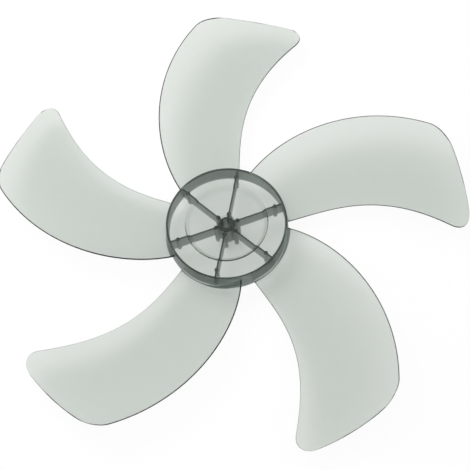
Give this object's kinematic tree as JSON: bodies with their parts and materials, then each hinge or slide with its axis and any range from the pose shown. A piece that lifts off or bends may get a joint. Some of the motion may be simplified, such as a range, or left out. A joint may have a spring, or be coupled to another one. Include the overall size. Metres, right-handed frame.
{
  "type": "fan blade",
  "caption": "One-piece clear tinted fan rotor: shallow ribbed drum hub with a slotted shaft bore and broad swept, twisted blades.",
  "frame": {"origin": "on the shaft bore's axis, at the level where the shaft's cross pin seats in the slot at the rear end of the boss", "axes": "+Z along the shaft towards the closed front face, where the air leaves; +X along the first rib inside the drum; seen from the front the rotor turns clockwise"},
  "size_m": [0.3801, 0.3815, 0.0335],
  "materials": {
    "clear_tinted_plastic": "glossy see-through styrene plastic with a light grey-green smoke tint"
  },
  "bodies": {
    "root": {"fan_blade": "clear_tinted_plastic"}
  },
  "joints": []
}
